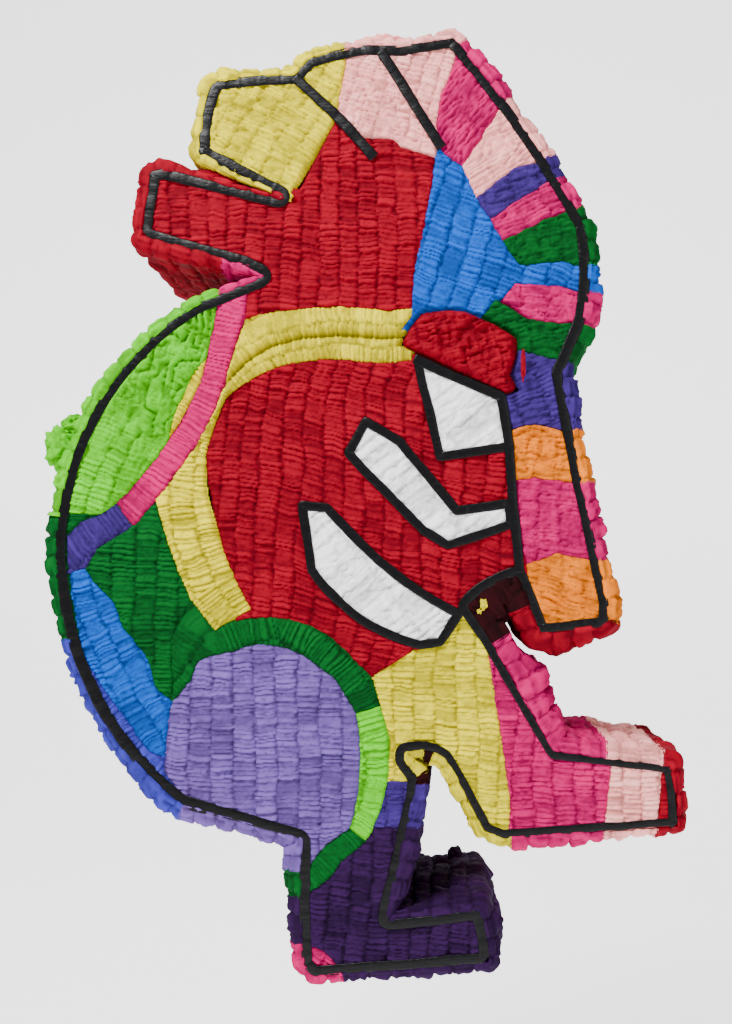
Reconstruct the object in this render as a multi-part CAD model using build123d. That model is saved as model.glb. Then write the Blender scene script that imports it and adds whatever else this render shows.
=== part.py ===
from build123d import *
from math import atan2, degrees
import os

# Driving sizes, in millimetres.
body_width = 582        # cardboard body, from the rump to the toe
body_height = 877       # cardboard body, from the crest to the sole
body_depth = 160        # over both cardboard faces
board = 4               # thickness of the corrugated cardboard
face_crepe = 6          # gathered crepe paper on the flat faces
wall_crepe = 9          # puffed crepe paper round the side walls
rim = 4                 # how far the crepe paper steps in at the rims of the faces
seam_tape = 0.5         # masking tape over the edges of the two faces
seam_lap = 12           # how far that tape reaches each way from an edge
line_width = 9.5        # black tape lines
line_height = 1         # how far the black tape stands up
ruffle_rise = 5         # how far the shoulder ruffle stands out of the face
door_width = 130        # fill door in the back face
door_height = 110
door_gap = 1            # clearance round the door
door_stop = 6           # how far the door frame laps the door
frame_width = 20        # door frame, beyond the opening
hinge_tape = 0.6        # tape that hinges the door
hinge_lap = 12          # how far it reaches above and below the hinge line
crepe_gap = 2           # bare edge between the door's crepe and the rest
hole_radius = 5         # hanging hole
sleeve_wall = 1
flange_radius = 10
flange = 1
batten_width = 28       # wooden batten under the hanging hole
batten_height = 12
brace_length = 90       # cardboard braces between the two faces
joint_tape = 0.6        # paper tape over the joints of the side walls
joint_lap = 30
least_patch = 150       # smaller scraps of crepe paper go to the patch beside them
least_tape = 30         # and scraps of black tape are left out

wide = body_width / 582
tall = body_height / 877
half = body_depth / 2
inner = half - board
front = -half - face_crepe
door_left = -155 * wide
door_top = -345 * tall
top = -1 * tall


def at(x, z):
    return Vector(x * wide, z * tall)


def edges_along(*steps):
    # two numbers run straight to a point, four run as an arc through the first point
    here = at(*steps[0])
    edges = []
    for step in steps[1:]:
        there = at(*step[-2:])
        if len(step) == 4:
            edges.append(ThreePointArc(here, at(*step[:2]), there))
        else:
            edges.append(Line(here, there))
        here = there
    return edges


def area(*steps):
    if steps[-1][-2:] != steps[0]:
        steps = (*steps, steps[0])
    return make_face(edges_along(*steps))


def box_area(left, right, low, high):
    return Pos((left + right) / 2, (low + high) / 2) * Rectangle(right - left, high - low)


def slab(flat, near, far):
    # a flat outline stood upright and made solid between two depths, front to back
    solids = [extrude(Plane.XZ * face, far - near) for face in flat.faces()]
    return Pos(0, far, 0) * (Part() + solids)


def grown(flat, amount):
    return offset(flat, amount, kind=Kind.ARC)


def shrunk(flat, amount):
    return offset(flat, -amount, kind=Kind.ARC)


def ribbon(width, *points):
    # a line of even width through the points, rounded at its corners
    strip = []
    for (x0, z0), (x1, z1) in zip(points, points[1:]):
        start = at(x0, z0)
        end = at(x1, z1)
        turn = Rot(0, 0, degrees(atan2(end.Y - start.Y, end.X - start.X)))
        strip.append(Pos((start + end) / 2) * turn * Rectangle((end - start).length, width))
        strip.append(Pos(end) * Circle(width / 2))
    return add_up(strip)


def outline():
    # cardboard silhouette: head top, crest, braid, front foot, rear foot, back, snout, nose
    return area(
        (-17, -1), (17, -1), (64, 7), (70, 1), (136, -84, 188, -168),
        (192, -210, 185, -265), (166, -307), (174, -351, 183, -396),
        (197, -462, 210, -520), (209, -538), (201, -543), (145, -549), (123, -496),
        (100, -506, 78, -523), (89, -538), (101, -555), (159, -657), (268, -669),
        (273, -699, 274, -729), (110, -740), (93, -733), (56, -666), (43, -659, 32, -658),
        (20, -659), (20, -666), (32, -681), (29, -703), (16, -760, 4, -814), (90, -805),
        (97, -831, 98, -855), (-66, -868), (-77, -857), (-79, -797, -78, -740),
        (-190, -709), (-276, -602, -306, -480), (-273, -344, -176, -242), (-113, -216),
        (-129, -208), (-227, -180), (-218, -119), (-204, -116), (-95, -143), (-173, -103),
        (-169, -66, -161, -37), (-151, -32), (-84, -27), (-71, -13), (-45, -6, -17, -1),
    )


def shoulder_ruffle_area():
    # red ruffle over the shoulder
    return area(
        (12, -280), (23, -261), (34, -248), (55, -245, 76, -246), (106, -259), (126, -272),
        (126, -290), (120, -307), (130, -323), (111, -328),
    )


def claw_upper_area():
    # white claw nearest the braid
    return area(
        (31, -294), (109, -328), (113, -352, 117, -375), (52, -384),
    )


def claw_middle_area():
    # middle white claw
    return area(
        (-17, -351), (15, -370), (68, -434), (117, -427), (118, -447), (59, -466),
        (37, -453), (-33, -381),
    )


def claw_lower_area():
    # lowest white claw
    return area(
        (-76, -429), (-53, -431), (-36, -449), (9, -492, 70, -530), (52, -556), (33, -559),
        (-27, -531, -67, -489),
    )


def tongue_area():
    # pink strip from the jaw to the back
    return area(
        (-151, -199), (-113, -216), (-128, -232), (-129, -252), (-143, -300, -156, -340),
        (-186, -389, -234, -449), (-250, -427), (-203, -372, -171, -313),
        (-161, -272, -154, -233),
    )


def nose_area():
    # yellow nose
    return area(
        (-36, 22), (-36, -18), (-41, -47), (-43, -63), (-50, -77), (-87, -138),
        (-76, -150), (-134, -131), (-208, -99), (-208, 4),
    )


def brow_area():
    # pale pink brow, up to the hanging hole
    return area(
        (-36, 22), (82, 22), (68, -6), (60, -32), (53, -47), (49, -74), (48, -105),
        (16, -96), (10, -88), (-20, -86), (-41, -69), (-43, -63), (-41, -47), (-36, -18),
    )


def crest_rose_area():
    # rose patch of the crest
    return area(
        (67, -6), (85, 13), (140, -38), (110, -54), (99, -74), (73, -112), (53, -99),
        (49, -74), (53, -47), (60, -32),
    )


def crest_blush_area():
    # pale patch of the crest
    return area(
        (111, -54), (136, -29), (192, -89), (147, -108), (122, -115), (86, -142),
        (73, -112), (99, -74),
    )


def braid_indigo_1_area():
    # first indigo band of the braid
    return area(
        (147, -108), (192, -85), (201, -115), (156, -126), (132, -140), (99, -163),
        (86, -142), (122, -115),
    )


def braid_rose_1_area():
    # first rose band of the braid
    return area(
        (156, -126), (201, -108), (215, -145), (171, -155), (145, -165), (111, -183),
        (99, -163), (132, -140),
    )


def braid_green_1_area():
    # first green band of the braid
    return area(
        (171, -155), (215, -140), (224, -203), (186, -207), (166, -202), (126, -205),
        (111, -183), (145, -165),
    )


def neck_blue_area():
    # sky blue neck
    return area(
        (48, -105), (53, -94), (60, -96), (73, -112), (86, -142), (99, -163), (111, -183),
        (126, -205), (145, -200), (166, -202), (224, -210), (224, -231), (182, -231),
        (161, -224), (122, -223), (112, -234), (104, -238), (96, -254), (80, -266),
        (15, -266), (25, -253), (28, -214), (44, -136),
    )


def braid_rose_2_area():
    # second rose band of the braid
    return area(
        (122, -223), (161, -225), (224, -231), (224, -264), (176, -262), (151, -258),
        (132, -254), (111, -238),
    )


def braid_green_2_area():
    # second green band of the braid
    return area(
        (104, -238), (130, -254), (151, -258), (224, -264), (201, -305), (164, -296),
        (130, -287), (108, -275), (89, -257),
    )


def braid_indigo_2_area():
    # second indigo band of the braid
    return area(
        (113, -280), (130, -286), (161, -294), (210, -305), (201, -359), (165, -359),
        (138, -354), (120, -359), (108, -326),
    )


def braid_orange_1_area():
    # upper orange band of the braid
    return area(
        (120, -359), (138, -353), (165, -360), (206, -354), (212, -409), (174, -408),
        (140, -403), (122, -406), (115, -382),
    )


def braid_rose_3_area():
    # third rose band of the braid
    return area(
        (122, -406), (140, -403), (174, -408), (224, -404), (238, -482), (190, -481),
        (161, -474), (133, -485), (119, -443),
    )


def braid_orange_2_area():
    # orange end of the braid
    return area(
        (133, -485), (161, -474), (190, -480), (238, -480), (238, -517), (238, -564),
        (136, -564), (136, -517),
    )


def notch_plug_area():
    # dark lining between the belly and the braid
    return area(
        (124, -491), (151, -549), (126, -565), (97, -554), (73, -526),
    )


def arch_plug_area():
    # dark lining above the arch
    return area(
        (14, -658), (57, -658), (64, -680), (46, -694), (22, -684),
    )


def collar_area():
    # yellow band round the neck and belly
    return area(
        (-129, -255), (-101, -248), (-41, -244), (5, -248), (26, -246), (26, -294),
        (-3, -297), (-32, -294), (-93, -299, -147, -327), (-163, -366, -167, -419),
        (-150, -472, -124, -526), (-158, -545), (-180, -517), (-200, -468, -212, -424),
        (-200, -363, -180, -309), (-148, -271),
    )


def elbow_indigo_area():
    # indigo patch at the back
    return area(
        (-296, -458), (-284, -445), (-262, -436), (-250, -427), (-235, -449), (-268, -471),
        (-279, -488), (-295, -492),
    )


def flank_blue_area():
    # sky blue strip along the back
    return area(
        (-295, -492), (-279, -488), (-272, -499), (-251, -520), (-244, -543), (-220, -573),
        (-213, -598), (-198, -613), (-202, -625), (-205, -663), (-220, -658), (-262, -598),
        (-282, -567),
    )


def rump_violet_area():
    # violet crescent at the rump
    return area(
        (-320, -554), (-288, -554), (-282, -567), (-262, -598), (-220, -658), (-205, -663),
        (-206, -680), (-183, -706), (-208, -731), (-301, -666),
    )


def ring_green_top_area():
    # dark green part of the thigh ring
    return area(
        (-196, -611), (-181, -592), (-173, -575), (-162, -570), (-140, -565),
        (-110, -559, -78, -567), (-46, -590), (-26, -623), (-4, -616), (-12, -590),
        (-36, -564), (-58, -547), (-105, -534, -158, -543), (-180, -517), (-199, -554),
    )


def ring_lime_area():
    # lime part of the thigh ring
    return area(
        (-26, -623), (-22, -671, -33, -730), (-17, -742), (3, -682, -4, -616),
    )


def ring_green_low_area():
    # lower green part of the thigh ring
    return area(
        (-33, -730), (-54, -745), (-70, -766), (-106, -776), (-106, -798), (-70, -790),
        (-50, -776), (-40, -761), (-17, -742),
    )


def thigh_lavender_area():
    # round lavender thigh
    return area(
        (-206, -677), (-205, -663), (-202, -625), (-196, -611), (-181, -592), (-173, -575),
        (-162, -570), (-140, -565), (-110, -559, -78, -567), (-46, -590), (-26, -623),
        (-22, -671, -33, -730), (-54, -745), (-70, -766), (-106, -776), (-113, -759),
        (-171, -750), (-208, -731), (-183, -706),
    )


def knee_blue_area():
    # indigo patch at the knee
    return area(
        (-4, -687), (37, -687), (37, -729), (-11, -729),
    )


def heel_rose_area():
    # rose heel
    return area(
        (-106, -833), (-72, -839), (-62, -841), (-52, -848), (-45, -857), (-32, -884),
        (-106, -884),
    )


def foot_purple_area():
    # purple rear foot
    return area(
        (-17, -742), (-11, -729), (47, -729), (126, -750), (126, -889), (-106, -889),
        (-106, -798), (-70, -790), (-50, -776), (-40, -761),
    )


def thigh_yellow_area():
    # yellow front thigh
    return area(
        (70, -530), (80, -517), (94, -536), (97, -565), (104, -613), (112, -663),
        (117, -698), (117, -759), (-4, -687), (7, -652), (-4, -613), (-12, -590),
        (9, -575), (28, -564), (52, -556),
    )


def leg_rose_area():
    # rose front leg
    return area(
        (80, -517), (108, -517), (164, -591), (164, -629), (201, -647), (212, -670),
        (206, -724), (201, -759), (117, -759), (117, -698), (112, -663), (104, -613),
        (97, -565), (94, -536),
    )


def instep_blush_area():
    # pale instep
    return area(
        (201, -629), (266, -647), (259, -675), (256, -712), (251, -759), (201, -759),
        (206, -724), (212, -670),
    )


def toe_red_area():
    # red toe
    return area(
        (266, -647), (312, -647), (312, -759), (251, -759), (256, -712), (259, -675),
    )


def lime_back_area():
    # lime upper back
    return area(
        (-329, -359), (-190, -210), (-141, -210), (-141, -266), (-171, -331), (-180, -396),
        (-185, -437), (-339, -437),
    )


def flank_green_area():
    # dark green flank
    return area(
        (-339, -437), (-185, -424), (-134, -554), (-180, -647), (-272, -629), (-339, -554),
    )


def belly_red_area():
    # red belly
    return area(
        (-167, -383), (-147, -327), (-97, -286), (26, -289), (89, -294), (136, -405),
        (145, -517), (80, -531), (15, -601), (-134, -554),
    )


def head_red_area():
    # red head and snout
    return area(
        (-246, -99), (-78, -136), (-36, -52), (52, -89), (52, -238), (26, -257),
        (-171, -266), (-246, -229),
    )


def wall_ring(shape):
    return shape - shrunk(shape, board)


def walls(shape):
    # eight strips of cardboard, bent along the silhouette and butted end to end
    ring = wall_ring(shape)
    lengths = {
        "wall_top": area((-84, 40), (74, 40), (74, -40), (-84, -40)),
        "wall_snout": area((-84, 40), (-84, -186), (-108, -186), (-121, -212), (-128, -215),
                           (-340, -225), (-340, 40)),
        "wall_back": area((-121, -212), (-108, -186), (-60, -186), (-60, -300), (-200, -570),
                          (-340, -570), (-340, -225), (-128, -215)),
        "wall_rump": area((-340, -570), (-200, -570), (-60, -700), (-60, -752), (-340, -752)),
        "wall_rear_foot": area((-120, -752), (120, -752), (120, -900), (-120, -900)),
        "wall_arch": area((-30, -752), (104, -752), (104, -725), (76, -640), (-30, -640)),
        "wall_leg": area((140, -552), (118, -480), (60, -480), (60, -640), (104, -725),
                         (104, -752), (320, -752), (320, -600), (145, -552)),
        "wall_braid": area((74, 40), (300, 40), (300, -600), (145, -552), (140, -552),
                           (118, -480), (40, -200), (40, 0), (74, -20)),
    }
    shares = deal(ring, lengths)
    return {name: slab(share, -inner, inner) for name, share in shares.items()}


def joint_tapes(shape):
    # short lengths of paper tape inside, across the joints of the side walls
    band = shrunk(shape, board) - shrunk(shape, board + joint_tape)
    places = [(-84, -31), (-118, -223), (-283, -570), (-79, -752), (16, -752)]
    places += [(104, -738), (72, -5), (130, -515)]
    spots = [Pos(at(x, z)) * Rectangle(joint_lap, joint_lap) for x, z in places]
    return slab(band & add_up(spots), -inner + 1, inner - 1)


def add_up(flats):
    total = flats[0]
    for flat in flats[1:]:
        total = total + flat
    return total


def deal(sheet, claims, least=0):
    # each claim takes what the ones before it have left, but no scraps
    shares = {}
    for name, claim in claims.items():
        pieces = [face for face in (sheet & claim).faces() if face.area > least]
        shares[name] = add_up(pieces)
        sheet = sheet - shares[name]
    return shares


def door_box(grow, near, far):
    flat = box_area(door_left - grow, door_left + door_width + grow,
                    door_top - door_height - grow, door_top + grow)
    return slab(flat, near, far)


def front_panel(shape):
    return slab(shape, -half, -inner)


def back_panel(shape):
    return slab(shape, inner, half) - door_box(0, inner, half)


def door_frame():
    return door_box(frame_width, inner - board, inner) - door_box(-door_stop, inner - board, inner)


def door_flap():
    return door_box(-door_gap, inner, half)


def door_crepe():
    flat = box_area(door_left + door_gap, door_left + door_width - door_gap,
                    door_top - door_height + door_gap, door_top - hinge_lap)
    return slab(flat, half, half + face_crepe)


def hinge_strip(low, high):
    flat = box_area(door_left + 5, door_left + door_width - 5, low, high)
    return slab(flat, half, half + hinge_tape)


def hanging_batten():
    low = top - board - batten_height
    block = slab(box_area(-batten_width / 2, batten_width / 2, low, top - board), -inner, inner)
    return block - bore(hole_radius + sleeve_wall, low, top)


def bore(radius, low, high):
    return Pos(0, 0, (low + high) / 2) * Cylinder(radius, high - low)


def hanging_sleeve():
    low = top - board - batten_height
    sleeve = bore(hole_radius + sleeve_wall, low - flange, top + flange)
    sleeve += bore(flange_radius, top, top + flange)
    sleeve += bore(flange_radius, low - flange, low)
    return sleeve - bore(hole_radius, low - 2 * flange, top + 2 * flange)


def braces():
    # three boards set front to back between the two faces
    across = Box(board, 2 * inner, brace_length)
    flat = Box(brace_length, 2 * inner, board)
    head = Pos(-5 * wide, 0, -110 * tall) * across
    chest = Pos(70 * wide, 0, -380 * tall) * across
    thigh = Pos(-120 * wide, 0, -640 * tall) * flat
    return head + chest + thigh


def edge_tape(shape, side):
    face = slab(shape - shrunk(shape, seam_lap), half, half + seam_tape)
    lip = slab(grown(shape, seam_tape) - shape, half - seam_lap, half + seam_tape)
    strip = face + lip
    strip -= door_box(hinge_lap + crepe_gap, half, half + seam_tape)
    return strip if side > 0 else mirror(strip, Plane.XZ)


def crepe_blank(shape):
    # everything the crepe paper can fill, stepped in twice at the rims of both faces
    middle = half + face_crepe / 3
    outer = half + face_crepe * 2 / 3
    blank = slab(grown(shape, wall_crepe), -middle, middle)
    blank += slab(grown(shape, wall_crepe - rim / 2), -outer, outer)
    blank += slab(grown(shape, wall_crepe - rim), -half - face_crepe, half + face_crepe)
    return blank


def door_clearance():
    flat = box_area(door_left - crepe_gap, door_left + door_width + crepe_gap,
                    door_top - door_height - crepe_gap, door_top + hinge_lap + 1)
    return slab(flat, half, half + 2 * face_crepe)


def black_tapes(shape):
    rim_line = shape - shrunk(shape, line_width)
    claws = [claw_upper_area(), claw_middle_area(), claw_lower_area()]
    claw_lines = [grown(claw, line_width / 2) - shrunk(claw, line_width / 2) for claw in claws]
    lines = {
        "tape_outline": rim_line,
        "tape_shoulder": ribbon(line_width, (109, -328), (117, -375), (120, -429), (126, -489)),
        "tape_claws": add_up(claw_lines),
        "tape_brow": ribbon(line_width, (-86, -28), (-9, -106)),
        "tape_crest": ribbon(line_width, (-3, -4), (54, -95)),
    }
    shares = deal(shape, lines, least_tape)
    return {name: slab(share, front - line_height, front) for name, share in shares.items()}


def crepe_areas():
    # nearest first: each takes what the ones before it have left
    return {
        "crepe_shoulder_ruffle": shoulder_ruffle_area(),
        "crepe_claws": add_up([claw_upper_area(), claw_middle_area(), claw_lower_area()]),
        "crepe_tongue": tongue_area(),
        "crepe_nose": nose_area(),
        "crepe_brow": brow_area(),
        "crepe_crest_rose": crest_rose_area(),
        "crepe_crest_blush": crest_blush_area(),
        "crepe_braid_indigo": add_up([braid_indigo_1_area(), braid_indigo_2_area()]),
        "crepe_braid_rose_top": braid_rose_1_area(),
        "crepe_braid_green": add_up([braid_green_1_area(), braid_green_2_area()]),
        "crepe_neck_blue": neck_blue_area(),
        "crepe_braid_rose_mid": braid_rose_2_area(),
        "crepe_braid_orange": add_up([braid_orange_1_area(), braid_orange_2_area()]),
        "crepe_braid_rose_low": braid_rose_3_area(),
        "crepe_dark_lining": add_up([notch_plug_area(), arch_plug_area()]),
        "crepe_collar": collar_area(),
        "crepe_elbow_indigo": elbow_indigo_area(),
        "crepe_flank_blue": flank_blue_area(),
        "crepe_rump_violet": rump_violet_area(),
        "crepe_ring_green": add_up([ring_green_top_area(), ring_green_low_area()]),
        "crepe_ring_lime": ring_lime_area(),
        "crepe_thigh_lavender": thigh_lavender_area(),
        "crepe_knee_blue": knee_blue_area(),
        "crepe_heel_rose": heel_rose_area(),
        "crepe_foot_purple": foot_purple_area(),
        "crepe_thigh_yellow": thigh_yellow_area(),
        "crepe_leg_rose": leg_rose_area(),
        "crepe_instep_blush": instep_blush_area(),
        "crepe_toe_red": toe_red_area(),
        "crepe_lime_back": lime_back_area(),
        "crepe_flank_green": flank_green_area(),
        "crepe_belly_red": belly_red_area(),
        "crepe_head_red": head_red_area(),
    }


def crepe_papers(shape, tapes):
    blank = crepe_blank(shape) - slab(shape, -half, half)
    for tape in tapes:
        blank = blank - tape
    blank = blank - door_clearance()
    blank = blank - bore(flange_radius + 1, top, top + 40)
    shares = deal(grown(shape, wall_crepe), crepe_areas(), least_patch)
    papers = {}
    for name, share in shares.items():
        papers[name] = blank & slab(share, -half - face_crepe, half + face_crepe)
    raised = shrunk(shoulder_ruffle_area(), line_width) & shape
    papers["crepe_shoulder_ruffle"] += slab(raised, front - ruffle_rise, front)
    return papers


body = outline()
nodes = {
    "front_panel": front_panel(body),
    "back_panel": back_panel(body),
    "joint_tapes": joint_tapes(body),
    "door_frame": door_frame(),
    "door_flap": door_flap(),
    "door_crepe": door_crepe(),
    "hinge_tape_upper": hinge_strip(door_top, door_top + hinge_lap),
    "hinge_tape_lower": hinge_strip(door_top - hinge_lap, door_top - door_gap / 2),
    "hanging_batten": hanging_batten(),
    "hanging_sleeve": hanging_sleeve(),
    "braces": braces(),
    "edge_tape_front": edge_tape(body, -1),
    "edge_tape_back": edge_tape(body, 1),
}
nodes.update(walls(body))
nodes.update(black_tapes(body))
nodes["wall_top"] = nodes["wall_top"] - bore(hole_radius + sleeve_wall, top - 10, top + 10)
nodes.update(crepe_papers(body, [nodes["edge_tape_front"], nodes["edge_tape_back"]]))

os.makedirs("parts", exist_ok=True)
for name, node in nodes.items():
    export_step(node, f"parts/{name}.step")
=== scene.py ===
import math
import bpy
import bmesh
import numpy as np
from mathutils import Vector, Matrix


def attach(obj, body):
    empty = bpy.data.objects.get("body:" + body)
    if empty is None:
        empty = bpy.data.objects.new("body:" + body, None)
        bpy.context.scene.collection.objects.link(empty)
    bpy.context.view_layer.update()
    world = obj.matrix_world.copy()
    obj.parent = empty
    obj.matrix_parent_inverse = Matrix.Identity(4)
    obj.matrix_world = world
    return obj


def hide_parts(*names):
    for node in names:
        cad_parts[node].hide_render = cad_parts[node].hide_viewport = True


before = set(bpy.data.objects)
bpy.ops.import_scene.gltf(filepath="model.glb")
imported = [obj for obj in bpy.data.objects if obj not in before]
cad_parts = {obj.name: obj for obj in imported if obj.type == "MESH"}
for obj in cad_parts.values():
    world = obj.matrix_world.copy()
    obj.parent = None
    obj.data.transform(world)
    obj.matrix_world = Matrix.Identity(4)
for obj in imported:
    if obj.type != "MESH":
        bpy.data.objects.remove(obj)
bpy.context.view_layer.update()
scene = bpy.context.scene
print("stage: frame loaded")

face = {"half": 80.0, "crepe": 6.0, "cell": 1.1, "backCell": 2.6, "ragged": 2.6, "under": 6.5}  # mm


# noise and distances, all in mm
def hashed(x, y, seed):
    h = (x.astype(np.int64) * 374761393 + y.astype(np.int64) * 668265263 + seed * 144269504) & 0xFFFFFFFF
    h = ((h ^ (h >> 13)) * 1274126177) & 0xFFFFFFFF
    return ((h ^ (h >> 16)) & 0xFFFFFF) / float(0xFFFFFF)


def noise(x, y, seed):
    xi, yi = np.floor(x), np.floor(y)
    fx, fy = x - xi, y - yi
    fx, fy = fx * fx * (3 - 2 * fx), fy * fy * (3 - 2 * fy)
    low = hashed(xi, yi, seed) * (1 - fx) + hashed(xi + 1, yi, seed) * fx
    high = hashed(xi, yi + 1, seed) * (1 - fx) + hashed(xi + 1, yi + 1, seed) * fx
    return (low * (1 - fy) + high * fy) * 2 - 1


def smooth(a, b, x):
    t = np.clip((x - a) / (b - a), 0, 1)
    return t * t * (3 - 2 * t)


def segments(loops):
    starts = np.vstack([loop for loop in loops])
    ends = np.vstack([np.roll(loop, -1, axis=0) for loop in loops])
    return starts, ends


def signedDistance(points, loops):  # positive inside
    starts, ends = segments(loops)
    best = np.full(len(points), 1e9)
    inside = np.zeros(len(points), bool)
    px, pz = points[:, 0], points[:, 1]
    for a, b in zip(starts, ends):
        d = b - a
        size = d @ d
        if size < 1e-9:
            continue
        t = np.clip(((px - a[0]) * d[0] + (pz - a[1]) * d[1]) / size, 0, 1)
        best = np.minimum(best, (px - a[0] - t * d[0]) ** 2 + (pz - a[1] - t * d[1]) ** 2)
        if a[1] != b[1]:
            crosses = (a[1] > pz) != (b[1] > pz)
            inside ^= crosses & (px < (b[0] - a[0]) * (pz - a[1]) / (b[1] - a[1]) + a[0])
    best = np.sqrt(best)
    return np.where(inside, best, -best)


def alongPath(points, path):  # signed distance from a polyline and length along it
    best = np.full(len(points), 1e9)
    side = np.zeros(len(points))
    run = np.zeros(len(points))
    walked = 0.0
    for k in range(len(path) - 1):
        a, b = path[k], path[k + 1]
        d = b - a
        length = math.hypot(*d)
        raw = ((points - a) @ d) / length**2
        t = np.clip(raw, 0, 1)
        if k == 0:
            t = np.minimum(raw, 1)
        if k == len(path) - 2:
            t = np.maximum(raw if len(path) == 2 else t, np.minimum(np.maximum(raw, 0), 9))
        off = points - a - t[:, None] * d
        far = np.hypot(off[:, 0], off[:, 1])
        cross = d[0] * off[:, 1] - d[1] * off[:, 0]
        near = far < best
        best = np.where(near, far, best)
        side = np.where(near, np.sign(cross) * far, side)
        run = np.where(near, walked + t * length, run)
        walked += length
    return side, run


def flatLoops(name, level):  # outlines of a CAD node's flat face at that depth
    bm = bmesh.new()
    bm.from_mesh(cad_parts[name].data)
    bmesh.ops.remove_doubles(bm, verts=bm.verts, dist=1e-6)
    way = 1 if level > 0 else -1
    flat = set()
    for f in bm.faces:
        if f.normal.y * way > 0.99 and abs(f.calc_center_median().y * 1000 - level) < 0.2:
            flat.add(f)
    following = {}
    place = {}
    for f in flat:
        for corner in f.loops:
            if not [g for g in corner.edge.link_faces if g is not f and g in flat]:
                a, b = corner.vert, corner.link_loop_next.vert
                following.setdefault(a.index, []).append(b.index)
                place[a.index] = (a.co.x * 1000, a.co.z * 1000)
    bm.free()
    loops = []
    while following:
        first = next(iter(following))
        chain = []
        now = first
        while now in following:
            chain.append(place[now])
            after = following[now].pop()
            if not following[now]:
                del following[now]
            now = after
            if now == first:
                break
        if len(chain) > 2:
            loops.append(np.array(chain))
    return loops


outline = max(flatLoops("front_panel", -face["half"]), key=len)
area2 = np.sum(outline[:, 0] * np.roll(outline[:, 1], -1) - np.roll(outline[:, 0], -1) * outline[:, 1])
if area2 < 0:
    outline = outline[::-1]


def resample(loop, step):
    closed = np.vstack([loop, loop[:1]])
    runs = np.concatenate([[0], np.cumsum(np.hypot(*np.diff(closed, axis=0).T))])
    count = int(runs[-1] / step)
    at = np.linspace(0, runs[-1], count, endpoint=False)
    return np.stack([np.interp(at, runs, closed[:, 0]), np.interp(at, runs, closed[:, 1])], 1), runs[-1]


rim, rimLength = resample(outline, 1.0)  # one point a millimetre, anticlockwise
rim = np.roll(rim, -int(np.argmin(np.hypot(rim[:, 0] + 312, rim[:, 1] + 438))), axis=0)  # starts between two colours


def softened(values, reach):
    kernel = np.hanning(reach * 2 + 3)[1:-1]
    kernel /= kernel.sum()
    wide = np.concatenate([values[-reach:], values, values[:reach]])
    return np.stack([np.convolve(wide[:, k], kernel, "valid") for k in range(values.shape[1])], 1)


rimSoft = softened(rim, 4)
tangent = np.roll(rimSoft, -1, 0) - np.roll(rimSoft, 1, 0)
tangent /= np.hypot(tangent[:, 0], tangent[:, 1])[:, None]
outward = softened(np.stack([tangent[:, 1], -tangent[:, 0]], 1), 7)
outward /= np.hypot(outward[:, 0], outward[:, 1])[:, None]


def rimRoom():  # how far the wall can puff before it meets the wall across a gap
    room = np.full(len(rim), 99.0)
    starts, ends = rim, np.roll(rim, -1, 0)
    d = ends - starts
    for k in range(0, len(rim), 2):
        p, n = rim[k] + outward[k] * 0.5, outward[k]
        den = n[0] * d[:, 1] - n[1] * d[:, 0]
        den = np.where(abs(den) < 1e-9, 1e-9, den)
        w = starts - p
        t = (w[:, 0] * d[:, 1] - w[:, 1] * d[:, 0]) / den
        u = (w[:, 0] * n[1] - w[:, 1] * n[0]) / den
        hit = t[(t > 0) & (u >= 0) & (u <= 1)]
        if len(hit):
            room[k : k + 2] = min(99.0, hit.min() * 0.49)
    wide = np.concatenate([room[-6:], room, room[:6]])
    least = np.min([wide[k : k + len(room)] for k in range(13)], axis=0)
    return softened(least[:, None], 6)[:, 0]


room = rimRoom()
print("stage: outline", len(rim), "mm round")


def onRim(s, values):
    count = len(values)
    at = (s / rimLength * count) % count
    low = np.floor(at).astype(int) % count
    part = (at - np.floor(at))[:, None]
    table = values if values.ndim == 2 else values[:, None]
    out = table[low] * (1 - part) + table[(low + 1) % count] * part
    return out if values.ndim == 2 else out[:, 0]


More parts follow.
